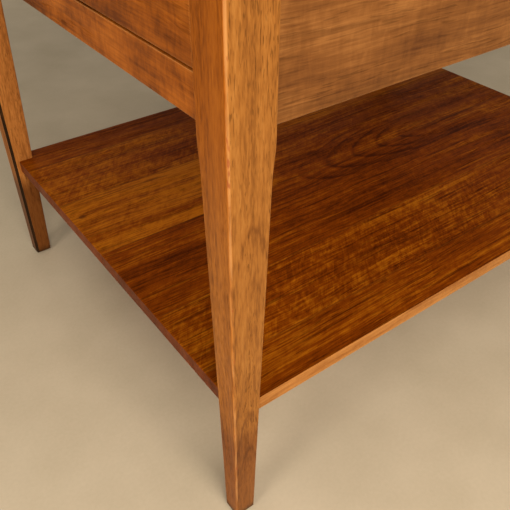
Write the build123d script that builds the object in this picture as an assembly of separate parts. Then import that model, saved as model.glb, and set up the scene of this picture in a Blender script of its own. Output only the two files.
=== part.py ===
from build123d import *
from functools import cache
import os

# Side table with one drawer above a low shelf, in millimetres.
# Origin on the floor under the middle of the table, +Z up.
# The long side of the table lies along X, and the drawer opens towards -X.
# Left is +Y and right is -Y.

# ---- Shelf ---------------------------------------------------------------------
shelf_length = 675.0
shelf_depth = 500.0
shelf_thickness = 15.0
shelf_top_height = 151.0
shelf_edge_round = 1.0
shelf_stave_shares = (47.5, 82.5, 116.0, 109.0, 95.0, 50.0)  # from the right edge to the left

# ---- Legs ----------------------------------------------------------------------
leg_width = 35.0
foot_width = 19.5
leg_standout_x = 9.5  # how far a leg stands out past the shelf's end
leg_standout_y = 8.0  # and past its side
foot_outer_inset = 3.6
shoulder_below_apron = 11.0
shoulder_length = 18.0
shoulder_depth = 2.0
shoulder_round = 70.0
outer_knee_round = 900.0
leg_corner_round = 2.5
leg_edge_round = 1.2
leg_chamfer = 3.0
foot_chamfer = 1.6

# ---- Glides under the feet -----------------------------------------------------
glide_diameter = 13.0
glide_height = 2.0
glide_edge_round = 0.8
glide_nail_diameter = 2.4
glide_nail_length = 16.0

# ---- Aprons and front rails ----------------------------------------------------
apron_bottom_height = 394.0
apron_height = 128.0
apron_thickness = 20.0
side_setback = 5.0
end_setback = 3.0
apron_edge_round = 1.2
bottom_rail_height = 30.0
top_rail_height = 16.0

# ---- Table top -----------------------------------------------------------------
top_thickness = 20.0
top_overhang = 15.0
top_edge_round = 4.0
top_corner_round = 12.0
top_stave_count = 5

# ---- Dowels --------------------------------------------------------------------
dowel_diameter = 8.0
dowel_length = 36.0
side_dowel_count = 3
shelf_dowel_diameter = 5.0
shelf_dowel_length = 18.0

# ---- Drawer --------------------------------------------------------------------
drawer_gap = 1.5
drawer_run_clearance = 0.3
drawer_length = 500.0
drawer_travel = 340.0
drawer_front_thickness = 18.0
drawer_front_edge_round = 1.0
drawer_side_thickness = 12.0
drawer_top_clearance = 2.7
drawer_back_thickness = 12.0
drawer_back_housing = 4.0
drawer_back_inset = 8.0
drawer_bottom_thickness = 5.0
drawer_bottom_rise = 10.0
drawer_groove_depth = 6.0
tail_count = 3
tail_length = 12.0
tail_width = 13.0
tail_flare = 2.2
glue_block_width = 12.0
glue_block_length = 42.0
glue_block_clearance = 1.0
glue_block_count = 3

# ---- Runners, kickers and stops ------------------------------------------------
runner_height = 16.0
runner_reach = 18.0
guide_height = 30.0
stop_block_length = 20.0
stop_block_height = 14.0
batten_width = 30.0
batten_dip = 7.0

# ---- Corner blocks inside the back apron ---------------------------------------
corner_block_thickness = 18.0
corner_block_clearance = 2.0  # above the guide strips

# ---- Knob ----------------------------------------------------------------------
knob_diameter = 32.0
knob_foot_diameter = 20.0
knob_neck_diameter = 14.0
knob_rim_thickness = 3.0

# ---- Screws --------------------------------------------------------------------
screw_diameter = 4.0
screw_head_diameter = 8.0
screw_head_height = 2.4
screw_tip_length = 4.0
slot_width = 1.0
slot_depth = 1.0
top_screw_length = 29.0
top_screws_each_side = 3
corner_screw_length = 38.0
corner_screws_each_block = 2
knob_screw_length = 28.0
back_screw_length = 22.0
back_screw_count = 3

# ---- Places that follow from the sizes above -----------------------------------
leg_outer_x = shelf_length / 2 + leg_standout_x
leg_outer_y = shelf_depth / 2 + leg_standout_y
leg_inner_x = leg_outer_x - leg_width
leg_inner_y = leg_outer_y - leg_width
leg_bottom = glide_height
leg_top = apron_bottom_height + apron_height
shoulder_top = apron_bottom_height - shoulder_below_apron
shoulder_foot = shoulder_top - shoulder_length
foot_x = leg_outer_x - foot_outer_inset - foot_width / 2
foot_y = leg_outer_y - foot_outer_inset - foot_width / 2

side_apron_outer = leg_outer_y - side_setback
side_apron_inner = side_apron_outer - apron_thickness
side_apron_middle = side_apron_outer - apron_thickness / 2
end_apron_outer = leg_outer_x - end_setback
end_apron_inner = end_apron_outer - apron_thickness
end_apron_middle = end_apron_outer - apron_thickness / 2
bottom_rail_top = apron_bottom_height + bottom_rail_height
top_rail_bottom = leg_top - top_rail_height

table_height = leg_top + top_thickness
top_half_length = leg_outer_x + top_overhang
top_half_depth = leg_outer_y + top_overhang
shelf_bottom_height = shelf_top_height - shelf_thickness

drawer_face = -end_apron_outer
drawer_front_back = drawer_face + drawer_front_thickness
drawer_end = drawer_face + drawer_length
drawer_half_width = leg_inner_y - drawer_gap
drawer_side_inner = drawer_half_width - drawer_side_thickness
drawer_side_bottom = bottom_rail_top + drawer_run_clearance
drawer_side_top = top_rail_bottom - drawer_top_clearance
drawer_front_bottom = bottom_rail_top + drawer_gap
drawer_front_top = top_rail_bottom - drawer_gap
drawer_panel_bottom = drawer_side_bottom + drawer_bottom_rise
drawer_panel_top = drawer_panel_bottom + drawer_bottom_thickness
drawer_back_rear = drawer_end - drawer_back_inset
drawer_back_face = drawer_back_rear - drawer_back_thickness
runner_inner = leg_inner_y - runner_reach
guide_top = bottom_rail_top + guide_height
corner_block_bottom = guide_top + corner_block_clearance
corner_block_reach_x = leg_inner_x - (side_apron_inner - leg_inner_y)
knob_height = (drawer_front_bottom + drawer_front_top) / 2
knob_length = top_half_length - end_apron_outer  # the knob ends flush with the table top's edge


# ---- Helpers -------------------------------------------------------------------
def board(x_limits, y_limits, z_limits):
    """A square-cornered piece of wood between two limits on each axis."""
    limits = (x_limits, y_limits, z_limits)
    centre = [(low + high) / 2 for low, high in limits]
    size = [high - low for low, high in limits]
    return Pos(*centre) * Box(*size)


def prism(corners, sweep):
    """A flat outline of corners in space, carried along a vector."""
    outline = make_face(Polyline(*corners, close=True))
    return extrude(outline, amount=Vector(*sweep).length, dir=sweep)


def rod(start, direction, length, diameter):
    """A round bar that starts at a point and runs along a direction."""
    place = Plane(origin=start, z_dir=direction)
    return extrude(place * Circle(diameter / 2), amount=length)


def screw_hole(head, direction, length):
    """A countersunk hole: its mouth lies at a point, and it runs along a direction."""
    profile = Polyline(
        (0, 0),
        (screw_head_diameter / 2, 0),
        (screw_diameter / 2, screw_head_height),
        (screw_diameter / 2, length - screw_tip_length),
        (0, length),
        close=True,
    )
    shape = revolve(Plane.XZ * make_face(profile), axis=Axis.Z)
    return Plane(origin=head, z_dir=direction) * shape


def screw(head, direction, length):
    """The slotted countersunk screw that fills the hole at the same place."""
    slot = Pos(0, 0, slot_depth / 2) * Box(screw_head_diameter, slot_width, slot_depth)
    return screw_hole(head, direction, length) - Plane(origin=head, z_dir=direction) * slot


def mirrored_pair(solid):
    """A solid on the left and its mirror image on the right."""
    return [solid, mirror(solid, about=Plane.XZ)]


def in_each_corner(solid):
    """Copies of a solid from the back left quarter, one in each quarter."""
    front = mirror(solid, about=Plane.YZ)
    return {
        "back_left": solid,
        "front_left": front,
        "back_right": mirror(solid, about=Plane.XZ),
        "front_right": mirror(front, about=Plane.XZ),
    }


def group(solids):
    """Separate solids kept together in one node."""
    return Compound(children=[piece for solid in solids for piece in solid.solids()])


def near(one, other):
    """Whether the boxes around two solids meet."""
    a, b = one.bounding_box(), other.bounding_box()
    meets_x = a.min.X <= b.max.X and b.min.X <= a.max.X
    meets_y = a.min.Y <= b.max.Y and b.min.Y <= a.max.Y
    meets_z = a.min.Z <= b.max.Z and b.min.Z <= a.max.Z
    return meets_x and meets_y and meets_z


def bored(solid, fittings):
    """A solid with a hole for each fitting that reaches it."""
    for fitting in fittings:
        if near(solid, fitting):
            solid = solid - fitting
    return solid


def spread(low, high, count):
    """Evenly spaced places, with half a space at each end."""
    space = (high - low) / count
    return [low + space * (number + 0.5) for number in range(count)]


# ---- Dowels and the screws in the frame ----------------------------------------
def apron_dowels():
    """Dowels between the aprons and the legs: those of the back apron lie between those of the sides."""
    pitch = apron_height / (side_dowel_count + 1)
    side_heights = [apron_bottom_height + pitch * (number + 1) for number in range(side_dowel_count)]
    back_heights = spread(apron_bottom_height, leg_top, side_dowel_count + 1)
    dowels = []
    for height in side_heights:
        start = (leg_inner_x - dowel_length / 2, side_apron_middle, height)
        dowels += in_each_corner(rod(start, (1, 0, 0), dowel_length, dowel_diameter)).values()
    for height in back_heights:
        start = (end_apron_middle, leg_inner_y - dowel_length / 2, height)
        dowels += mirrored_pair(rod(start, (0, 1, 0), dowel_length, dowel_diameter))
    return dowels


def rail_dowels():
    """One dowel at each end of the two front rails."""
    dowels = []
    for height in (apron_bottom_height + bottom_rail_height / 2, leg_top - top_rail_height / 2):
        start = (-end_apron_middle, leg_inner_y - dowel_length / 2, height)
        dowels += mirrored_pair(rod(start, (0, 1, 0), dowel_length, dowel_diameter))
    return dowels


def shelf_dowels():
    """Two dowels from each leg into the shelf: one through its end and one through its side."""
    height = shelf_top_height - shelf_thickness / 2
    down = (shoulder_foot - height) / (shoulder_foot - leg_bottom)
    inner_taper = leg_width - foot_width - foot_outer_inset - shoulder_depth
    setback = shoulder_depth + down * inner_taper - shelf_dowel_length / 2
    size = (shelf_dowel_length, shelf_dowel_diameter)
    along_x = rod((leg_inner_x + setback, foot_y, height), (1, 0, 0), *size)
    along_y = rod((foot_x, leg_inner_y + setback, height), (0, 1, 0), *size)
    return [*in_each_corner(along_x).values(), *in_each_corner(along_y).values()]


def corner_screw_places():
    """Head and direction of each screw through the back left corner block into the leg."""
    inset = corner_block_thickness / 2**0.5
    heights = spread(corner_block_bottom, leg_top, corner_screws_each_block)
    return [((leg_inner_x - inset, leg_inner_y - inset, height), (1, 1, 0)) for height in heights]


def top_screw_places():
    """Head and direction of each screw up through the left kicker."""
    middle = (runner_inner + side_apron_inner) / 2
    places = spread(-leg_inner_x, leg_inner_x, top_screws_each_side)
    return [((x, middle, top_rail_bottom), (0, 0, 1)) for x in places]


# ---- Legs ----------------------------------------------------------------------
def leg_profile(outer):
    """A leg seen from one side: square above, a soft shoulder below the apron, then a straight taper."""
    inner = outer - leg_width
    foot_outer = outer - foot_outer_inset
    outline = make_face(
        Polyline(
            (outer, leg_top),
            (outer, shoulder_top),
            (foot_outer, leg_bottom),
            (foot_outer - foot_width, leg_bottom),
            (inner + shoulder_depth, shoulder_foot),
            (inner, shoulder_top),
            (inner, leg_top),
            close=True,
        )
    )
    middle = outer - leg_width / 2
    knees = [v for v in outline.vertices() if shoulder_foot - 0.1 < v.Y < shoulder_top + 0.1]
    outline = fillet([v for v in knees if v.X > middle], radius=outer_knee_round)
    knees = [v for v in outline.vertices() if shoulder_foot - 0.1 < v.Y < shoulder_top + 0.1]
    return fillet([v for v in knees if v.X < middle], radius=shoulder_round)


def upright_edges(solid, x, y):
    """The edges of the back left leg that run up its corner nearest to x, y at the top."""
    reach = leg_width / 2
    chosen = []
    for edge in solid.edges():
        box = edge.bounding_box()
        middle = edge.center()
        rises = box.max.Z - box.min.Z > 2 * foot_chamfer
        if rises and abs(middle.X - x) < reach and abs(middle.Y - y) < reach:
            chosen.append(edge)
    return chosen


@cache
def leg_blank():
    """The back left leg before its holes are bored."""
    seen_from_side = extrude(Plane.XZ * leg_profile(leg_outer_x), amount=-leg_outer_y - leg_width)
    seen_from_end = extrude(Plane.YZ * leg_profile(leg_outer_y), amount=leg_outer_x + leg_width)
    leg = seen_from_side & seen_from_end
    leg = chamfer(leg.faces().sort_by(Axis.Z)[0].edges(), length=foot_chamfer)
    leg = fillet(upright_edges(leg, leg_outer_x, leg_outer_y), radius=leg_corner_round)
    leg = chamfer(upright_edges(leg, leg_outer_x, leg_inner_y), length=leg_chamfer)
    edges = upright_edges(leg, leg_inner_x, leg_inner_y) + upright_edges(leg, leg_inner_x, leg_outer_y)
    return fillet(edges, radius=leg_edge_round)


def glide():
    """A domed glide with its nail, under the back left foot."""
    disc = Pos(foot_x, foot_y, glide_height / 2) * Cylinder(glide_diameter / 2, glide_height)
    disc = fillet(disc.edges().sort_by(Axis.Z)[0], radius=glide_edge_round)
    return disc + rod((foot_x, foot_y, glide_height / 2), (0, 0, 1), glide_nail_length, glide_nail_diameter)


def legs():
    """The four legs, bored for their dowels, screws and glide nails."""
    fittings = apron_dowels() + rail_dowels() + shelf_dowels()
    fittings += in_each_corner(glide()).values()
    for place in corner_screw_places():
        fittings += mirrored_pair(screw_hole(*place, corner_screw_length))
    blanks = in_each_corner(leg_blank())
    return {"leg_" + corner: bored(blank, fittings) for corner, blank in blanks.items()}


# ---- Aprons and rails ----------------------------------------------------------
def with_eased_lower_edges(piece):
    """A rail or apron whose long lower edges are rounded."""
    longest = max(edge.length for edge in piece.edges())
    low = piece.bounding_box().min.Z
    lower = [edge for edge in piece.edges() if edge.length > longest - 0.1 and edge.center().Z < low + 0.1]
    return fillet(lower, radius=apron_edge_round)


def aprons():
    """Side aprons, back apron and the two front rails."""
    heights = (apron_bottom_height, leg_top)
    side = board((-leg_inner_x, leg_inner_x), (side_apron_inner, side_apron_outer), heights)
    back = board((end_apron_inner, end_apron_outer), (-leg_inner_y, leg_inner_y), heights)
    front = (-end_apron_outer, -end_apron_inner)
    bottom_rail = board(front, (-leg_inner_y, leg_inner_y), (apron_bottom_height, bottom_rail_top))
    top_rail = board(front, (-leg_inner_y, leg_inner_y), (top_rail_bottom, leg_top))
    dowels = apron_dowels()
    side = with_eased_lower_edges(side)
    return {
        "side_apron_left": bored(side, dowels),
        "side_apron_right": bored(mirror(side, about=Plane.XZ), dowels),
        "back_apron": bored(with_eased_lower_edges(back), dowels),
        "front_bottom_rail": bored(with_eased_lower_edges(bottom_rail), rail_dowels()),
        "front_top_rail": bored(top_rail, rail_dowels()),
    }


# ---- Glued-up panels -----------------------------------------------------------
def cut_into_staves(panel, names, shares):
    """A panel parted into staves along X, whose widths are in the given shares."""
    box = panel.bounding_box()
    low = box.min.Y
    scale = (box.max.Y - box.min.Y) / sum(shares)
    staves = {}
    for name, share in zip(names, shares):
        high = low + share * scale
        staves[name] = panel & board((box.min.X, box.max.X), (low, high), (box.min.Z, box.max.Z))
        low = high
    return staves


def shelf():
    """The shelf, notched round the four legs and glued up from staves."""
    panel = board(
        (-shelf_length / 2, shelf_length / 2),
        (-shelf_depth / 2, shelf_depth / 2),
        (shelf_bottom_height, shelf_top_height),
    )
    panel = fillet(panel.faces().sort_by(Axis.Z)[-1].edges(), radius=shelf_edge_round)
    panel = fillet(panel.faces().sort_by(Axis.Z)[0].edges(), radius=shelf_edge_round)
    names = [f"shelf_stave_{number + 1}" for number in range(len(shelf_stave_shares))]
    staves = cut_into_staves(panel, names, shelf_stave_shares)
    cutters = [*in_each_corner(leg_blank()).values(), *shelf_dowels()]
    return {name: bored(stave, cutters) for name, stave in staves.items()}


def table_top():
    """The top, with rounded corners and edges, glued up from staves."""
    panel = board(
        (-top_half_length, top_half_length),
        (-top_half_depth, top_half_depth),
        (leg_top, table_height),
    )
    panel = fillet(panel.edges().filter_by(Axis.Z), radius=top_corner_round)
    panel = fillet(panel.faces().sort_by(Axis.Z)[-1].edges(), radius=top_edge_round)
    panel = chamfer(panel.faces().sort_by(Axis.Z)[0].edges(), length=top_edge_round / 2)
    names = [f"top_stave_{number + 1}" for number in range(top_stave_count)]
    staves = cut_into_staves(panel, names, [1] * top_stave_count)
    screws = []
    for place in top_screw_places():
        screws += mirrored_pair(screw_hole(*place, top_screw_length))
    return {name: bored(stave, screws) for name, stave in staves.items()}


# ---- What guides the drawer ----------------------------------------------------
def runner():
    """The left runner: a bearer notched between the legs, with a guide strip beside the drawer."""
    bearer_heights = (bottom_rail_top - runner_height, bottom_rail_top)
    bearer = board((-end_apron_inner, end_apron_inner), (runner_inner, leg_inner_y), bearer_heights)
    between_legs = board((-leg_inner_x, leg_inner_x), (leg_inner_y, side_apron_inner), bearer_heights)
    guide_heights = (bottom_rail_top, guide_top)
    guide = board((-leg_inner_x, leg_inner_x), (leg_inner_y, side_apron_inner), guide_heights)
    return bearer + between_legs + guide


def kicker():
    """The left kicker: it holds the drawer down and carries the screws into the top."""
    heights = (top_rail_bottom, leg_top)
    end = corner_block_reach_x - corner_block_thickness * 2**0.5
    strip = board((-end_apron_inner, end), (runner_inner, leg_inner_y), heights)
    strip += board((-leg_inner_x, end), (leg_inner_y, side_apron_inner), heights)
    return bored(strip, [screw_hole(*place, top_screw_length) for place in top_screw_places()])


def stop_block():
    """The left block on the runner that stops the closing drawer."""
    start = drawer_end + drawer_run_clearance
    heights = (bottom_rail_top, bottom_rail_top + stop_block_height)
    return board((start, start + stop_block_length), (runner_inner, leg_inner_y), heights)


def stop_batten():
    """The batten between the kickers that stops the drawer when it is pulled out."""
    start = drawer_back_face - drawer_travel - drawer_run_clearance - batten_width
    heights = (top_rail_bottom - batten_dip, leg_top)
    return board((start, start + batten_width), (-runner_inner, runner_inner), heights)


# ---- Corner and glue blocks ----------------------------------------------------
def corner_block():
    """The brace across the back left corner, against the leg's inner corner."""
    inset = corner_block_thickness * 2**0.5
    reach_y = leg_inner_y - (end_apron_inner - leg_inner_x)
    bottom = corner_block_bottom
    outline = [
        (corner_block_reach_x, side_apron_inner, bottom),
        (end_apron_inner, reach_y, bottom),
        (end_apron_inner, reach_y - inset, bottom),
        (corner_block_reach_x - inset, side_apron_inner, bottom),
    ]
    return prism(outline, (0, 0, leg_top - bottom))


def corner_blocks():
    """Both braces at the back, bored for their screws."""
    holes = [screw_hole(*place, corner_screw_length) for place in corner_screw_places()]
    return mirrored_pair(bored(corner_block(), holes))


# ---- Drawer --------------------------------------------------------------------
def tails():
    """The dovetails at the front end of the left drawer side."""
    root = drawer_front_back
    tip = root - tail_length
    solids = []
    for middle in spread(drawer_side_bottom, drawer_side_top, tail_count):
        half = tail_width / 2
        outline = [
            (root, drawer_side_inner, middle - half),
            (tip, drawer_side_inner, middle - half - tail_flare),
            (tip, drawer_side_inner, middle + half + tail_flare),
            (root, drawer_side_inner, middle + half),
        ]
        solids.append(prism(outline, (0, drawer_side_thickness, 0)))
    return solids


def drawer_panel():
    """The thin bottom, let into grooves in the front and sides."""
    half_width = drawer_side_inner + drawer_groove_depth
    front = drawer_front_back - drawer_groove_depth
    return board((front, drawer_end), (-half_width, half_width), (drawer_panel_bottom, drawer_panel_top))


def drawer_back():
    """The back, housed in the sides and standing on the bottom."""
    half_width = drawer_side_inner + drawer_back_housing
    heights = (drawer_panel_top, drawer_side_top)
    return board((drawer_back_face, drawer_back_rear), (-half_width, half_width), heights)


def back_screw_places():
    """Head and direction of each screw up through the bottom into the drawer back."""
    middle = (drawer_back_face + drawer_back_rear) / 2
    places = spread(-drawer_side_inner, drawer_side_inner, back_screw_count)
    return [((middle, y, drawer_panel_bottom), (0, 0, 1)) for y in places]


def drawer_side():
    """The left side, with its tails, groove and housing."""
    side = board(
        (drawer_front_back, drawer_end),
        (drawer_side_inner, drawer_half_width),
        (drawer_side_bottom, drawer_side_top),
    )
    for tail in tails():
        side = side + tail
    return side - drawer_panel() - drawer_back()


def drawer_front():
    """The front, with sockets for the tails, a groove for the bottom and a hole for the knob's screw."""
    front = board(
        (drawer_face, drawer_front_back),
        (-drawer_half_width, drawer_half_width),
        (drawer_front_bottom, drawer_front_top),
    )
    front = fillet(front.faces().sort_by(Axis.X)[0].edges(), radius=drawer_front_edge_round)
    for tail in tails():
        for socket in mirrored_pair(tail):
            front = front - socket
    return front - drawer_panel() - knob_screw_hole()


def glue_blocks():
    """Blocks behind the front, under the bottom."""
    low = drawer_side_bottom + glue_block_clearance
    half = glue_block_length / 2
    blocks = []
    for y in spread(-drawer_side_inner, drawer_side_inner, glue_block_count):
        limits_x = (drawer_front_back, drawer_front_back + glue_block_width)
        blocks.append(board(limits_x, (y - half, y + half), (low, drawer_panel_bottom)))
    return blocks


def knob_screw_hole():
    """The hole through the drawer front into the knob, from inside the drawer."""
    return screw_hole((drawer_front_back, 0, knob_height), (-1, 0, 0), knob_screw_length)


def knob():
    """A turned knob with a flared foot, a neck and a domed face."""
    rim = knob_diameter / 2
    foot = knob_foot_diameter / 2
    neck = knob_neck_diameter / 2
    dome = knob_length / 3
    rim_start = knob_length - dome - knob_rim_thickness
    neck_place = rim_start / 2
    outline = Polyline((0, 0), (foot, 0))
    outline += ThreePointArc((foot, 0), (neck, neck_place), (rim, rim_start))
    outline += Line((rim, rim_start), (rim, knob_length - dome))
    dome_radius = (rim**2 + dome**2) / (2 * dome)
    outline += RadiusArc((rim, knob_length - dome), (0, knob_length), -dome_radius)
    outline += Line((0, knob_length), (0, 0))
    turned = revolve(Plane.XZ * make_face(outline), axis=Axis.Z)
    placed = Plane(origin=(drawer_face, 0, knob_height), z_dir=(-1, 0, 0)) * turned
    return placed - knob_screw_hole()


def drawer():
    """The pieces that slide together."""
    left, right = mirrored_pair(drawer_side())
    places = back_screw_places()
    holes = [screw_hole(*place, back_screw_length) for place in places]
    return {
        "drawer_front": drawer_front(),
        "drawer_side_left": left,
        "drawer_side_right": right,
        "drawer_back": bored(drawer_back(), holes),
        "drawer_bottom": bored(drawer_panel(), holes),
        "drawer_glue_blocks": group(glue_blocks()),
        "drawer_back_screws": group(screw(*place, back_screw_length) for place in places),
        "knob": knob(),
        "knob_screw": screw((drawer_front_back, 0, knob_height), (-1, 0, 0), knob_screw_length),
    }


# ---- The whole table -----------------------------------------------------------
def fittings():
    """Dowels, screws, glides, runners, kickers, stops and blocks of the frame."""
    corner_screws = []
    for place in corner_screw_places():
        corner_screws += mirrored_pair(screw(*place, corner_screw_length))
    top_screws = []
    for place in top_screw_places():
        top_screws += mirrored_pair(screw(*place, top_screw_length))
    runner_left, runner_right = mirrored_pair(runner())
    kicker_left, kicker_right = mirrored_pair(kicker())
    return {
        "apron_dowels": group(apron_dowels()),
        "rail_dowels": group(rail_dowels()),
        "shelf_dowels": group(shelf_dowels()),
        "corner_screws": group(corner_screws),
        "top_screws": group(top_screws),
        "foot_glides": group(in_each_corner(glide()).values()),
        "runner_left": runner_left,
        "runner_right": runner_right,
        "kicker_left": kicker_left,
        "kicker_right": kicker_right,
        "drawer_stop_blocks": group(mirrored_pair(stop_block())),
        "drawer_stop_batten": stop_batten(),
        "corner_blocks": group(corner_blocks()),
    }


def main():
    os.makedirs("parts", exist_ok=True)
    nodes = {**legs(), **aprons(), **shelf(), **table_top(), **fittings(), **drawer()}
    for name, shape in nodes.items():
        export_step(shape, f"parts/{name}.step")


main()
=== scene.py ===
"""The looks of a walnut side table: oiled wood, dull screws, studio floor, light and camera."""

import math

import bmesh
import bpy
from mathutils import Matrix, Vector


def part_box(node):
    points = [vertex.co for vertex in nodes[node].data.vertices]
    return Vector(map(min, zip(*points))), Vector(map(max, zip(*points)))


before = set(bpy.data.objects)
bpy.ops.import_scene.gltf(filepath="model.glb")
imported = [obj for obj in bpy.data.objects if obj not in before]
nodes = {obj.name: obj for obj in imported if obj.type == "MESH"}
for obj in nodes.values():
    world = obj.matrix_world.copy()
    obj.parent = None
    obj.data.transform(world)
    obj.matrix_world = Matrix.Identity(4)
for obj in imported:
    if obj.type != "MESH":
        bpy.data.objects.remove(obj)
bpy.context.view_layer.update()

# ---- Camera --------------------------------------------------------------------
CAMERA_PLACE = (-0.5188, -0.5142, 0.5653)
CAMERA_HEADING = 53.263  # degrees from +X towards +Y
CAMERA_DOWN = 38.592  # degrees below level
CAMERA_ROLL = 0.456  # degrees
CAMERA_LENS = 44.98  # mm on a 36 mm wide sensor
SENSOR_WIDTH = 36.0
NEAR_CLIP = 0.01

# ---- Wood colours (linear): dark, middle and light ------------------------------
LEG_TONES = ((0.22, 0.068, 0.012), (0.41, 0.142, 0.025), (0.54, 0.210, 0.044))
APRON_TONES = ((0.085, 0.027, 0.008), (0.205, 0.074, 0.018), (0.36, 0.145, 0.038))
RAIL_TONES = ((0.14, 0.030, 0.002), (0.34, 0.084, 0.005), (0.52, 0.145, 0.012))
SHELF_TONES = ((0.058, 0.0088, 0.0003), (0.195, 0.0360, 0.0008), (0.42, 0.122, 0.0040))
END_GRAIN_TONE = (0.150, 0.031, 0.0065)
SHELF_SIDE_TONES = ((0.34, 0.115, 0.022), (0.58, 0.245, 0.062))
TOP_TONES = ((0.075, 0.017, 0.0015), (0.21, 0.055, 0.0045), (0.38, 0.125, 0.012))
KNOB_TONES = ((0.040, 0.012, 0.003), (0.11, 0.036, 0.008), (0.20, 0.075, 0.018))
OAK_TONES = ((0.30, 0.17, 0.080), (0.47, 0.30, 0.155), (0.60, 0.42, 0.235))
PLY_TONES = ((0.36, 0.23, 0.12), (0.53, 0.37, 0.21), (0.64, 0.48, 0.30))
OAK_END_TONE = (0.30, 0.17, 0.08)
PLY_END_TONE = (0.34, 0.21, 0.11)

# ---- Colours of wear, painted light and shade, finish, metal and studio (linear) ---
CHAMFER_DARK_TONE = (0.012, 0.006, 0.003)
# Edge colours: worn finish with a painted highlight along the arrises
ARRIS_WEAR_AND_HIGHLIGHT = (0.60, 0.28, 0.095)
APRON_EDGE = (0.62, 0.28, 0.085)
SHELF_EDGE = (0.40, 0.15, 0.025)
TOP_EDGE = (0.45, 0.18, 0.04)
OAK_EDGE = (0.66, 0.47, 0.28)
KNOB_EDGE = (0.30, 0.12, 0.03)
# Painted contact shade at the feet
FOOT_CONTACT_SHADE = (0.030, 0.014, 0.006)
WARM_GLOSS = (1.0, 0.50, 0.20, 1.0)
KNOCK_TONE = (0.30, 0.060, 0.018)
KNOT_TONE = (0.075, 0.014, 0.002)
RUST_TONE = (0.16, 0.07, 0.03, 1.0)
FLOOR_TONES = ((0.50, 0.405, 0.27), (0.60, 0.49, 0.34))
BACKDROP_TONE = (0.20, 0.17, 0.12, 1.0)
OVERHEAD_TONES = ((0.10, 0.09, 0.075, 1.0), (1.0, 0.96, 0.90, 1.0))
OVERHEAD_STRENGTH = 0.45
KEY_TONE = (1.0, 0.93, 0.83)
SIDE_TONE = (1.0, 0.93, 0.84)
FILL_TONE = (1.0, 0.96, 0.90)

# ---- Sizes and places, in metres -------------------------------------------------
FLOOR_REACH = 40.0  # half the floor's side
# Height over which the painted shade of the shelf fades in on the legs
SHELF_SHADE_FADE = 0.030  # below the shelf
# Heights of the painted contact shade at the feet
FOOT_CONTACT_SHADE_BAND = (0.006, 0.017)  # heights above the floor
JOINT_LINE = (0.0002, 0.0011)  # distances from a glue joint
KNOT = (-0.3245, 0.071, 0.0055, 0.0040)  # place and half lengths
# A painted pool of light on the shelf
PAINTED_LIGHT_PATCH = (-0.30, 0.05, 0.24, 0.16, 0.36)  # place, half lengths and gain

# ---- Grain: how many features a metre along, across and through the board ---------
GRAIN_AXES = {"X": (0, 1, 2), "Y": (1, 0, 2), "Z": (2, 0, 1)}
STREAK_SCALE = (1.5, 44.0, 44.0)
RIBBON_SCALE = (5.0, 220.0, 220.0)
LINE_SCALE = (6.0, 330.0, 330.0)
CLUSTER_SCALE = (6.0, 60.0, 60.0)
SPECKLE_SCALE = (500.0, 500.0, 500.0)
SURFACE_FIBRE_SCALE = (55.0, 800.0, 800.0)
RIPPLE_SCALE = (200.0, 70.0, 70.0)
WAVE_SCALE = (75.0, 30.0, 30.0)
SWAY_SCALE = (3.0, 5.0, 5.0)
WOBBLE_SCALE = (16.0, 24.0, 24.0)
RING_DRIFT_SCALE = (2.0, 14.0, 14.0)
RING_FADE_SCALE = (4.0, 16.0, 16.0)
EDGE_PATCH_SCALE = (45.0, 260.0, 260.0)
BLOTCH_SCALE = (20.0, 300.0, 300.0)
KNOCK_SCALE = (90.0, 300.0, 300.0)

# ---- Other features a metre, along X, Y and Z -------------------------------------
RUST_SCALE = (420.0, 420.0, 420.0)
SCRATCH_SCALE = (2600.0, 260.0, 700.0)
CLOUD_SCALE = (9.0, 9.0, 9.0)
GRIT_SCALE = (260.0, 260.0, 260.0)

# ---- Grain: how it runs and how deep it is ----------------------------------------
SEED_STEP = (1.37, 0.71, 0.43)  # metres between one seed's board and the next
SWAY_WIDTH = 0.018  # metres
WOBBLE_WIDTH = 0.0030  # metres
RIPPLE_SLANT = 0.8  # along the grain for each metre across it
# Place in one ring, and how dark it is there
LATE_WOOD = ((0.0, 0.30), (0.08, 0.0), (0.55, 0.10), (0.78, 0.40), (0.90, 1.0), (1.0, 0.30))
GRAIN_BUMP = (0.28, 0.00015)  # strength and height


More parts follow.
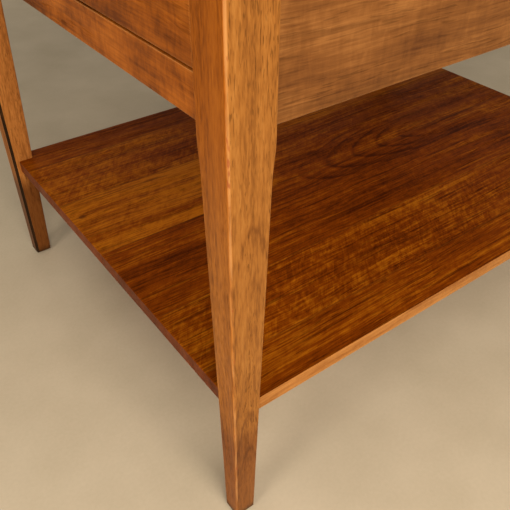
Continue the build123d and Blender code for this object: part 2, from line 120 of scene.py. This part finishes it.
# ---- Shader helpers --------------------------------------------------------------
class Shader:
    """A material's node tree, with short calls for the nodes that the finishes share."""

    def __init__(self, name):
        self.material = bpy.data.materials.new(name)
        self.material.use_nodes = True
        self.tree = self.material.node_tree
        self.tree.nodes.clear()
        self.surface = self.node("ShaderNodeBsdfPrincipled")
        output = self.node("ShaderNodeOutputMaterial")
        self.tree.links.new(self.surface.outputs[0], output.inputs["Surface"])
        self.coordinates = self.node("ShaderNodeTexCoord").outputs["Object"]

    def node(self, kind, **settings):
        made = self.tree.nodes.new(kind)
        for key, value in settings.items():
            setattr(made, key, value)
        return made

    def plug(self, socket, value):
        """Links a socket to another node's output, or sets it to a plain value."""
        if isinstance(value, bpy.types.NodeSocket):
            self.tree.links.new(value, socket)
        else:
            socket.default_value = value

    def math(self, operation, a, b=0.0):
        made = self.node("ShaderNodeMath", operation=operation)
        self.plug(made.inputs[0], a)
        self.plug(made.inputs[1], b)
        return made.outputs[0]

    def vector_math(self, operation, a, b, output="Vector"):
        made = self.node("ShaderNodeVectorMath", operation=operation)
        self.plug(made.inputs[0], a)
        self.plug(made.inputs[1], b)
        return made.outputs[output]

    def length(self, vector):
        return self.vector_math("LENGTH", vector, (0, 0, 0), output="Value")

    def split(self, vector):
        made = self.node("ShaderNodeSeparateXYZ")
        self.plug(made.inputs[0], vector)
        return list(made.outputs)

    def join(self, x, y, z):
        made = self.node("ShaderNodeCombineXYZ")
        for socket, value in zip(made.inputs, (x, y, z)):
            self.plug(socket, value)
        return made.outputs[0]

    def stretch(self, vector, scale, shift=(0, 0, 0)):
        made = self.node("ShaderNodeMapping")
        self.plug(made.inputs["Vector"], vector)
        made.inputs["Scale"].default_value = scale
        made.inputs["Location"].default_value = shift
        return made.outputs[0]

    def noise(self, vector, detail=3.0, roughness=0.55, distortion=0.0):
        made = self.node("ShaderNodeTexNoise")
        self.plug(made.inputs["Vector"], vector)
        made.inputs["Scale"].default_value = 1.0
        made.inputs["Detail"].default_value = detail
        made.inputs["Roughness"].default_value = roughness
        made.inputs["Distortion"].default_value = distortion
        return made.outputs["Fac"]

    def step(self, value, low, high, bottom=0.0, top=1.0):
        """A smooth rise from bottom to top while the value goes from low to high."""
        made = self.node("ShaderNodeMapRange", interpolation_type="SMOOTHSTEP")
        for socket, number in zip(made.inputs[:5], (value, low, high, bottom, top)):
            self.plug(socket, number)
        return made.outputs[0]

    def ramp(self, value, stops):
        made = self.node("ShaderNodeValToRGB")
        self.plug(made.inputs[0], value)
        elements = made.color_ramp.elements
        while len(elements) < len(stops):
            elements.new(0.5)
        for element, (place, colour) in zip(elements, stops):
            element.position = place
            element.color = (*colour, 1.0)
        return made.outputs[0]

    def mix(self, factor, a, b, blend="MIX"):
        made = self.node("ShaderNodeMix", data_type="RGBA", blend_type=blend)
        self.plug(made.inputs["Factor"], factor)
        self.plug(made.inputs["A"], a)
        self.plug(made.inputs["B"], b)
        return made.outputs["Result"]

    def bump(self, height, strength, distance):
        made = self.node("ShaderNodeBump")
        self.plug(made.inputs["Height"], height)
        made.inputs["Strength"].default_value = strength
        made.inputs["Distance"].default_value = distance
        return made.outputs["Normal"]

    def put_on(self, names):
        for name in names:
            nodes[name].data.materials.clear()
            nodes[name].data.materials.append(self.material)


# ---- Wood ------------------------------------------------------------------------
class Wood(Shader):
    """Sawn wood: growth rings, streaks, fibres, pores and cross figure, with darker end grain.

    The growth rings lie round the heart of a log that runs along the grain. heart is where that
    line passes, across the board and through it, at the origin, and slope tilts it along the board.
    """

    def __init__(
        self,
        name,
        grain,
        tones,
        seed=0.0,
        tone=0.0,
        heart=(0.0, 0.0),
        slope=0.02,
        ring_spacing=0.007,
        rings=0.3,
        ring_reach=None,
        unevenness=1.4,
        streaks=0.5,
        ribbons=0.35,
        fibres=0.3,
        fibre_scale=(30.0, 620.0, 620.0),
        blush=0.3,
        blush_scale=(7.0, 14.0, 14.0),
        figure=0.0,
        figure_patch=None,
        lit_patch=None,
        pores=0.5,
        pore_scale=(42.0, 640.0, 640.0),
        calm=None,
        lines=0.3,
        end_tone=END_GRAIN_TONE,
        roughness=0.42,
        gloss=0.25,
    ):
        super().__init__(name)
        along, across, through = GRAIN_AXES[grain]
        place = self.split(self.coordinates)
        self.plain = self.join(place[along], place[across], place[through])
        seeded = self.vector_math("ADD", self.plain, tuple(seed * step for step in SEED_STEP))
        sway = self.noise(self.stretch(seeded, SWAY_SCALE), detail=1.0)
        wobble = self.noise(self.stretch(seeded, WOBBLE_SCALE), detail=1.0)
        sway = self.centred(sway, SWAY_WIDTH)
        drift = self.math("ADD", sway, self.centred(wobble, WOBBLE_WIDTH))
        self.board = self.vector_math("ADD", seeded, self.join(0.0, drift, drift))

        value = 0.5 + tone
        for amount, scale, detail, rough in (
            (streaks, STREAK_SCALE, 5.0, 0.66),
            (ribbons, RIBBON_SCALE, 4.0, 0.70),
            (fibres, fibre_scale, 2.0, 0.6),
            (blush, blush_scale, 3.0, 0.5),
        ):
            layer = self.noise(self.stretch(self.board, scale), detail, rough)
            value = self.math("ADD", value, self.centred(layer, 2.0 * amount))

        if rings:
            ring_look = (ring_spacing, rings, unevenness, ring_reach)
            value = self.math("SUBTRACT", value, self.growth_rings(heart, slope, drift, *ring_look))
        if figure:
            value = self.math("ADD", value, self.cross_figure(figure, figure_patch))
        # A painted pool of light: the value is raised over a patch of the board
        if lit_patch:
            *lit_place, gain = lit_patch
            value = self.math("ADD", value, self.math("MULTIPLY", self.patch(*lit_place), gain))
        self.value = value
        dark, middle, light = tones
        self.colour = self.ramp(value, [(0.05, dark), (0.5, middle), (0.95, light)])

        long_lines = self.noise(self.stretch(self.board, LINE_SCALE, (4.0, 0.5, 0.2)), detail=2.0)
        line_mask = self.math("MULTIPLY", self.step(long_lines, 0.55, 0.66), lines)
        dashes = self.noise(self.stretch(self.board, pore_scale, (2.0, 0.3, 0.7)), detail=1.0)
        clusters = self.noise(self.stretch(self.board, CLUSTER_SCALE, (5.0, 0, 0)), detail=2.0)
        crowded = self.step(clusters, 0.42, 0.60, 0.15, 1.0)
        pore = self.math("MULTIPLY", self.step(dashes, 0.56, 0.68), crowded)
        pore_mask = self.math("MAXIMUM", line_mask, self.math("MULTIPLY", pore, pores))
        if calm:
            still = self.step(self.facing(calm, two_sided=True), 0.3, 0.8, 1.0, 0.5)
            pore_mask = self.math("MULTIPLY", pore_mask, still)
        self.paint(pore_mask, tuple(0.45 * c for c in dark))

        grain_way = tuple(1.0 if axis == along else 0.0 for axis in range(3))
        ends = self.facing(grain_way, two_sided=True)
        speckle = self.noise(self.stretch(self.board, SPECKLE_SCALE, (0.1, 0.2, 0.3)), detail=2.0)
        speckle = self.math("MULTIPLY", speckle, 0.6)
        end_colour = self.ramp(
            self.math("ADD", speckle, self.math("MULTIPLY", value, 0.4)),
            [(0.3, tuple(0.55 * c for c in end_tone)), (0.7, tuple(1.5 * c for c in end_tone))],
        )
        self.colour = self.mix(self.step(ends, 0.75, 0.9), self.colour, end_colour)

        raised = self.noise(self.stretch(self.board, SURFACE_FIBRE_SCALE, (0.7, 0, 0)), detail=2.0)
        relief = self.math("SUBTRACT", raised, self.math("MULTIPLY", pore, 0.8))
        self.plug(self.surface.inputs["Normal"], self.bump(relief, *GRAIN_BUMP))
        sheen = self.math("ADD", self.math("MULTIPLY", pore, 0.5), clusters)
        dullness = self.step(sheen, 0.3, 1.0, roughness - 0.05, roughness + 0.15)
        self.plug(self.surface.inputs["Roughness"], dullness)
        self.surface.inputs["Specular IOR Level"].default_value = gloss
        self.surface.inputs["Specular Tint"].default_value = WARM_GLOSS

    def centred(self, value, amount):
        """Moves noise from round a half to round zero and scales it."""
        return self.math("MULTIPLY", self.math("SUBTRACT", value, 0.5), amount)

    def growth_rings(self, heart, slope, drift, spacing, strength, unevenness, reach):
        """The dark late wood of each ring round the heart line."""
        x, y, z = self.split(self.plain)
        off_side = self.math("SUBTRACT", y, heart[0])
        off_side = self.math("ADD", off_side, self.math("MULTIPLY", drift, 0.6))
        heart_height = self.math("ADD", self.math("MULTIPLY", x, slope), heart[1])
        depth = self.math("SUBTRACT", z, heart_height)
        radius = self.length(self.join(0.0, off_side, depth))
        uneven = self.noise(self.stretch(self.board, RING_DRIFT_SCALE, (9.0, 0, 0)), detail=2.0)
        uneven = self.centred(uneven, unevenness)
        turn = self.math("FRACT", self.math("ADD", self.math("DIVIDE", radius, spacing), uneven))
        late = self.ramp(turn, [(place, (shade,) * 3) for place, shade in LATE_WOOD])
        fade = self.noise(self.stretch(self.board, RING_FADE_SCALE, (3.1, 0.7, 0.2)), detail=1.0)
        amount = self.math("MULTIPLY", self.step(fade, 0.35, 0.62, 0.25, 1.0), strength)
        if reach:
            amount = self.math("MULTIPLY", amount, self.patch(*reach))
        return self.math("MULTIPLY", late, amount)

    def patch(self, x, y, reach_x, reach_y, outside=0.0):
        """One in the middle of a patch of the board, falling to a lower value around it."""
        place_x, place_y, _ = self.split(self.plain)
        far_x = self.math("DIVIDE", self.math("SUBTRACT", place_x, x), reach_x)
        far_y = self.math("DIVIDE", self.math("SUBTRACT", place_y, y), reach_y)
        far = self.length(self.join(far_x, far_y, 0.0))
        return self.step(far, 0.6, 1.0, 1.0, outside)

    def cross_figure(self, amount, patch):
        """Short slanting ripples across the grain."""
        x, y, z = self.split(self.board)
        slanted = self.join(self.math("SUBTRACT", x, self.math("MULTIPLY", y, RIPPLE_SLANT)), y, z)
        fine_place = self.stretch(slanted, RIPPLE_SCALE, (0.2, 0.1, 0))
        ripples = self.noise(fine_place, detail=2.0, distortion=0.9)
        broad_place = self.stretch(self.board, WAVE_SCALE, (0.5, 0.8, 0))
        broad = self.noise(broad_place, detail=2.0, distortion=1.0)
        ripples = self.centred(ripples, 1.3 * amount)
        waves = self.math("ADD", ripples, self.centred(broad, 0.9 * amount))
        return self.math("MULTIPLY", waves, self.patch(*patch)) if patch else waves

    def facing(self, way, two_sided=False):
        """How far the surface faces a direction: 1 towards it, -1 away, or 1 both ways."""
        normal = self.node("ShaderNodeNewGeometry").outputs["True Normal"]
        shown = self.vector_math("DOT_PRODUCT", normal, way, output="Value")
        return self.math("ABSOLUTE", shown) if two_sided else shown

    def paint(self, mask, colour):
        self.colour = self.mix(mask, self.colour, (*colour, 1.0))

    def tint(self, mask, colour):
        """Shifts the colour of the wood under a mask."""
        tinted = self.mix(1.0, self.colour, (*colour, 1.0), blend="MULTIPLY")
        self.colour = self.mix(mask, self.colour, tinted)

    def wear_and_highlight_edges(self, amount, width, colour):
        """Lightens the arrises of a piece: worn finish and a painted highlight on the eased edges.
        """
        rounded = self.node("ShaderNodeBevel", samples=4)
        rounded.inputs["Radius"].default_value = width
        flat = self.node("ShaderNodeNewGeometry").outputs["True Normal"]
        same = self.vector_math("DOT_PRODUCT", rounded.outputs[0], flat, output="Value")
        edge_noise = self.noise(self.stretch(self.board, EDGE_PATCH_SCALE, (0.6, 0, 0)), detail=3.0)
        edge_patches = self.step(edge_noise, 0.30, 0.62, 0.35, 1.0)
        edge = self.math("MULTIPLY", self.step(same, 0.995, 0.92), edge_patches)
        self.paint(self.math("MULTIPLY", edge, amount), colour)

    def put_on(self, names):
        self.plug(self.surface.inputs["Base Color"], self.colour)
        super().put_on(names)


def finish_legs():
    """Legs: upright grain, a worn outer arris with a painted highlight, a dark band on one chamfer,
    painted light and shade on the faces and below the shelf, and painted contact shade at the feet.
    """
    shelf_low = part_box("shelf_stave_3")[0][2]
    legs = (
        # The last two numbers are painted light and shade: the tint of the side faces and the tone
        # below the shelf
        ("front_right", -1, -1, 0.0188, (0.83, 0.88, 0.90), 0.67),
        ("front_left", -1, 1, 0.0300, (1.12, 1.17, 1.40), 0.38),
        ("back_right", 1, -1, 0.0450, (0.88, 0.90, 0.95), 0.75),
        ("back_left", 1, 1, 0.0220, (1.00, 0.98, 1.00), 0.75),
    )
    for number, leg in enumerate(legs):
        corner, sign_x, sign_y, heart_depth, side_light_tint, shelf_shade_tone = leg
        low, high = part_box("leg_" + corner)
        face_y = high[1] if sign_y > 0 else low[1]
        middle_x = (low[0] + high[0]) / 2
        s = Wood(
            "walnut_leg_" + corner,
            "Z",
            LEG_TONES,
            seed=1.0 + number,
            heart=(middle_x, face_y - sign_y * heart_depth),
            slope=-0.06 * sign_y,
            ring_spacing=0.0032,
            rings=0.62,
            ring_reach=(0.21, middle_x, 0.16, 0.08),
            unevenness=0.30,
            streaks=0.52,
            ribbons=0.40,
            fibres=0.60,
            fibre_scale=(85.0, 600.0, 600.0),
            blush=0.30,
            pores=0.60,
            pore_scale=(130.0, 900.0, 900.0),
            calm=(1.0, 0.0, 0.0),
            lines=0.14,
            roughness=0.46,
        )
        height = s.split(s.coordinates)[2]
        end_faces = s.step(s.facing((1.0, 0.0, 0.0), two_sided=True), 0.6, 0.9)
        side_faces = s.step(s.facing((0.0, 1.0, 0.0), two_sided=True), 0.6, 0.9)
        # Painted light and shade: the end faces get a darker, warmer tint, darker still towards the
        # top, and each leg's side faces get a tint of their own
        s.tint(end_faces, (1.0, 0.94, 0.72))
        s.tint(s.math("MULTIPLY", end_faces, s.step(height, 0.26, 0.42)), (0.82, 0.65, 0.30))
        s.tint(side_faces, side_light_tint)
        # Painted shade of the shelf on the legs below it
        shelf_shade = s.step(height, shelf_low - SHELF_SHADE_FADE, shelf_low, 1.0, 0.0)
        s.tint(shelf_shade, (shelf_shade_tone, shelf_shade_tone * 0.86, shelf_shade_tone * 0.8))
        blotches = s.noise(s.stretch(s.board, BLOTCH_SCALE), detail=3.0)
        knocks = s.noise(s.stretch(s.board, KNOCK_SCALE, (0.4, 0, 0)), detail=1.0)
        # Outer arris: worn finish with a painted highlight, broken up by patches, and real knocks
        arris = s.step(s.facing(Vector((sign_x, sign_y, 0)).normalized()), 0.88, 0.98)
        s.paint(s.math("MULTIPLY", arris, s.step(blotches, 0.38, 0.62, 0.08, 0.55)), ARRIS_WEAR_AND_HIGHLIGHT)
        s.paint(s.math("MULTIPLY", arris, s.step(knocks, 0.62, 0.68, 0.0, 0.7)), KNOCK_TONE)
        s.wear_and_highlight_edges(0.22, 0.0012, ARRIS_WEAR_AND_HIGHLIGHT)
        # A dark band painted along the inner chamfer
        chamfer = s.step(s.facing(Vector((sign_x, -sign_y, 0)).normalized()), 0.955, 0.985)
        s.paint(s.math("MULTIPLY", chamfer, s.step(blotches, 0.2, 0.5, 0.8, 1.0)), CHAMFER_DARK_TONE)
        # Painted contact shade on the feet, just above the floor
        grime_and_shade = s.math("ADD", height, s.math("MULTIPLY", blotches, 0.008))
        s.paint(s.step(grime_and_shade, *FOOT_CONTACT_SHADE_BAND, 0.85, 0.0), FOOT_CONTACT_SHADE)
        s.put_on(["leg_" + corner])


def finish_aprons():
    """Aprons, rails and the drawer front, each with its own run of grain."""
    pieces = (
        ("side_apron_right", "X", APRON_TONES, 0.55, 0.25),
        ("side_apron_left", "X", APRON_TONES, 0.45, 0.22),
        ("back_apron", "Y", APRON_TONES, 0.45, 0.30),
        ("front_bottom_rail", "Y", RAIL_TONES, 1.05, 0.55),
        ("front_top_rail", "Y", RAIL_TONES, 0.60, 0.30),
        ("drawer_front", "Y", RAIL_TONES, 0.60, 0.45),
    )
    for number, (name, grain, tones, blush, figure) in enumerate(pieces):
        s = Wood(
            "walnut_" + name,
            grain,
            tones,
            seed=6.0 + number,
            heart=(0.22 if grain == "X" else -0.40, 0.47),
            slope=0.04,
            ring_spacing=0.008,
            rings=0.22,
            streaks=0.42,
            ribbons=0.32,
            fibres=0.30,
            blush=blush,
            blush_scale=(13.0, 24.0, 24.0),
            figure=figure,
            pores=0.4,
            lines=0.25,
        )
        s.wear_and_highlight_edges(0.6, 0.0018, APRON_EDGE)
        s.put_on([name])


def finish_shelf():
    """Six staves. The two middle ones share a flame figure across their joint."""
    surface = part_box("shelf_stave_3")[1][2]
    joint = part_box("shelf_stave_3")[1][1]
    flame = dict(
        heart=(joint, surface - 0.0574),
        slope=0.176,
        ring_spacing=0.0078,
        rings=0.42,
        unevenness=0.35,
        ring_reach=(0.03, joint, 0.13, 0.065),
    )
    curly_near = dict(figure=0.55, figure_patch=(-0.13, -0.170, 0.36, 0.085, 0.35), rings=0.1)
    curly_far = dict(figure=0.55, figure_patch=(-0.24, 0.150, 0.22, 0.08, 0.3), rings=0.1)
    looks = (
        dict(tone=0.06, streaks=0.75, figure=0.20, rings=0.15),
        dict(tone=0.04, streaks=0.50, **curly_near),
        dict(tone=-0.12, streaks=0.65, figure=0.25, **flame),
        dict(tone=0.00, streaks=0.55, figure=0.34, lit_patch=PAINTED_LIGHT_PATCH, **flame),
        dict(tone=0.16, streaks=0.50, **curly_far),
        dict(tone=0.04, streaks=0.50, figure=0.25, rings=0.15),
    )
    for number, look in enumerate(looks):
        name = f"shelf_stave_{number + 1}"
        low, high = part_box(name)
        s = Wood(
            "walnut_" + name,
            "X",
            SHELF_TONES,
            seed=13.0 + number,
            ribbons=0.50,
            fibres=0.46,
            fibre_scale=(42.0, 700.0, 700.0),
            pores=0.50,
            pore_scale=(55.0, 850.0, 850.0),
            lines=0.50,
            roughness=0.42,
            gloss=0.08,
            **look,
        )
        y = s.split(s.coordinates)[1]
        from_low, from_high = s.math("SUBTRACT", y, low[1]), s.math("SUBTRACT", high[1], y)
        from_joint = s.math("MINIMUM", from_low, from_high)
        s.paint(s.step(from_joint, *JOINT_LINE, 0.45, 0.0), SHELF_TONES[0])
        if "lit_patch" in look:
            s.paint(s.math("MULTIPLY", s.patch(*KNOT), 0.7), KNOT_TONE)
        side_colour = s.ramp(s.value, [(0.15, SHELF_SIDE_TONES[0]), (0.75, SHELF_SIDE_TONES[1])])
        sides = s.step(s.facing((0.0, 1.0, 0.0), two_sided=True), 0.75, 0.9)
        s.colour = s.mix(s.math("MULTIPLY", sides, 0.9), s.colour, side_colour)
        s.wear_and_highlight_edges(0.2, 0.0012, SHELF_EDGE)
        s.put_on([name])


def finish_top():
    """Five boards, each sawn from another place in the log."""
    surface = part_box("top_stave_1")[1][2]
    for number, tone in enumerate((0.02, -0.06, 0.05, -0.02, 0.08)):
        name = f"top_stave_{number + 1}"
        s = Wood(
            "walnut_" + name,
            "X",
            TOP_TONES,
            seed=21.0 + number,
            tone=tone,
            heart=(-0.19 + 0.11 * number, surface - 0.07),
            slope=0.12 if number % 2 else -0.10,
            ring_spacing=0.008,
            rings=0.32,
            figure=0.30,
            pores=0.55,
            lines=0.45,
            roughness=0.46,
            gloss=0.18,
        )
        s.wear_and_highlight_edges(0.4, 0.0025, TOP_EDGE)
        s.put_on([name])


def finish_inside():
    """The plain secondary wood of the drawer box, runners and blocks."""
    plain = {
        "drawer_side_left": "X",
        "drawer_side_right": "X",
        "drawer_back": "Y",
        "drawer_glue_blocks": "Y",
        "runner_left": "X",
        "runner_right": "X",
        "kicker_left": "X",
        "kicker_right": "X",
        "drawer_stop_blocks": "X",
        "drawer_stop_batten": "Y",
        "corner_blocks": "Z",
    }
    for number, (name, grain) in enumerate(plain.items()):
        s = Wood(
            "oak_" + name,
            grain,
            OAK_TONES,
            seed=31.0 + number,
            heart=(0.12, 0.2),
            ring_spacing=0.005,
            rings=0.3,
            pores=0.35,
            end_tone=OAK_END_TONE,
            roughness=0.62,
        )
        s.wear_and_highlight_edges(0.3, 0.001, OAK_EDGE)
        s.put_on([name])
    ply = Wood(
        "plywood",
        "Y",
        PLY_TONES,
        seed=43.0,
        heart=(0.1, 0.40),
        slope=0.08,
        rings=0.35,
        roughness=0.6,
        end_tone=PLY_END_TONE,
    )
    ply.put_on(["drawer_bottom"])
    beech = Wood("beech_dowel", "X", PLY_TONES, seed=44.0, rings=0.0, pores=0.5, roughness=0.65)
    beech.put_on(["apron_dowels", "rail_dowels", "shelf_dowels"])


def finish_knob():
    """A turned knob with its grain along the drawer's travel."""
    s = Wood(
        "walnut_knob",
        "X",
        KNOB_TONES,
        seed=45.0,
        ring_spacing=0.004,
        heart=(0.03, 0.44),
        pores=0.5,
        roughness=0.32,
    )
    s.wear_and_highlight_edges(0.4, 0.001, KNOB_EDGE)
    s.put_on(["knob"])


def finish_steel():
    """Dull, lightly rusted screws and worn bright glides."""
    screws = ["corner_screws", "top_screws", "drawer_back_screws", "knob_screw"]
    metals = (("screw_steel", screws, 0.24, 0.55), ("glide_steel", ["foot_glides"], 0.50, 0.2))
    for name, pieces, base, wear in metals:
        s = Shader(name)
        grime_and_shade = s.noise(s.stretch(s.coordinates, RUST_SCALE), detail=4.0)
        scratches = s.noise(s.stretch(s.coordinates, SCRATCH_SCALE), detail=2.0)
        rust = s.math("MULTIPLY", s.step(grime_and_shade, 0.5, 0.68), wear)
        colour = s.mix(rust, (base, base * 0.97, base * 0.92, 1.0), RUST_TONE)
        s.plug(s.surface.inputs["Base Color"], colour)
        s.plug(s.surface.inputs["Metallic"], s.step(rust, 0.0, 0.6, 1.0, 0.3))
        dullness = s.step(s.math("ADD", grime_and_shade, scratches), 0.7, 1.3, 0.3, 0.6)
        s.plug(s.surface.inputs["Roughness"], dullness)
        s.plug(s.surface.inputs["Normal"], s.bump(scratches, 0.25, 0.0001))
        s.put_on(pieces)


# ---- Studio ----------------------------------------------------------------------
def make_floor():
    """A plain pale floor."""
    mesh = bpy.data.meshes.new("floor")
    shape = bmesh.new()
    bmesh.ops.create_grid(shape, x_segments=1, y_segments=1, size=FLOOR_REACH)
    shape.to_mesh(mesh)
    shape.free()
    floor = bpy.data.objects.new("floor", mesh)
    bpy.context.scene.collection.objects.link(floor)
    s = Shader("floor_plain")
    cloud = s.noise(s.stretch(s.coordinates, CLOUD_SCALE), detail=4.0)
    grit = s.noise(s.stretch(s.coordinates, GRIT_SCALE), detail=3.0)
    value = s.math("ADD", s.math("MULTIPLY", cloud, 0.75), s.math("MULTIPLY", grit, 0.25))
    s.plug(s.surface.inputs["Base Color"], s.ramp(value, list(zip((0.3, 0.7), FLOOR_TONES))))
    s.plug(s.surface.inputs["Roughness"], 0.85)
    mesh.materials.append(s.material)


def area_light(name, place, target, size, power, colour, shine=True):
    """A soft lamp turned to a target. Without shine it leaves no highlights."""
    data = bpy.data.lights.new(name, "AREA")
    data.shape = "RECTANGLE"
    data.size, data.size_y = size
    data.energy = power
    data.color = colour
    light = bpy.data.objects.new(name, data)
    light.location = place
    light.visible_glossy = shine
    light.rotation_euler = (Vector(target) - Vector(place)).to_track_quat("-Z", "Y").to_euler()
    bpy.context.scene.collection.objects.link(light)


def make_light():
    """A warm key light and a side light, and two weak fills for the faces turned away."""
    table = (0.0, 0.0, 0.35)
    area_light("key", (-0.60, -1.40, 1.15), (-0.15, -0.1, 0.1), (1.1, 0.8), 29.0, KEY_TONE)
    area_light("side", (-1.70, -0.60, 0.90), (-0.2, 0.0, 0.1), (0.5, 0.5), 10.0, SIDE_TONE)
    area_light("left", (0.30, 2.30, 0.75), table, (1.2, 0.6), 3.0, FILL_TONE, shine=False)
    area_light("back", (2.30, -0.40, 0.75), table, (1.2, 0.6), 3.5, FILL_TONE, shine=False)


def make_backdrop():
    """Soft light from overhead, and for the camera a plain backdrop close to the floor's tone."""
    world = bpy.data.worlds.new("studio")
    world.use_nodes = True
    tree = world.node_tree
    overhead = tree.nodes["Background"]
    overhead.inputs["Strength"].default_value = OVERHEAD_STRENGTH
    way = tree.nodes.new("ShaderNodeTexCoord")
    height = tree.nodes.new("ShaderNodeSeparateXYZ")
    shade = tree.nodes.new("ShaderNodeValToRGB")
    tree.links.new(way.outputs["Generated"], height.inputs[0])
    tree.links.new(height.outputs["Z"], shade.inputs[0])
    tree.links.new(shade.outputs[0], overhead.inputs["Color"])
    dim, bright = shade.color_ramp.elements
    dim.position, bright.position = 0.15, 0.95
    dim.color, bright.color = OVERHEAD_TONES
    backdrop = tree.nodes.new("ShaderNodeBackground")
    backdrop.inputs["Color"].default_value = BACKDROP_TONE
    seen = tree.nodes.new("ShaderNodeLightPath").outputs["Is Camera Ray"]
    both = tree.nodes.new("ShaderNodeMixShader")
    tree.links.new(seen, both.inputs[0])
    tree.links.new(overhead.outputs[0], both.inputs[1])
    tree.links.new(backdrop.outputs[0], both.inputs[2])
    tree.links.new(both.outputs[0], tree.nodes["World Output"].inputs["Surface"])
    bpy.context.scene.world = world


def make_camera():
    """A view down over the near leg onto the shelf."""
    data = bpy.data.cameras.new("camera")
    data.sensor_width = SENSOR_WIDTH
    data.lens = CAMERA_LENS
    data.clip_start = NEAR_CLIP
    camera = bpy.data.objects.new("camera", data)
    turn = Matrix.Rotation(math.radians(CAMERA_HEADING - 90.0), 4, "Z")
    tilt = Matrix.Rotation(math.radians(90.0 - CAMERA_DOWN), 4, "X")
    roll = Matrix.Rotation(math.radians(CAMERA_ROLL), 4, "Z")
    camera.matrix_world = Matrix.Translation(CAMERA_PLACE) @ turn @ tilt @ roll
    bpy.context.scene.collection.objects.link(camera)
    bpy.context.scene.camera = camera
    bpy.context.scene.view_settings.view_transform = "Standard"


finish_legs()
finish_aprons()
finish_shelf()
finish_top()
finish_inside()
finish_knob()
finish_steel()
make_floor()
make_light()
make_backdrop()
make_camera()
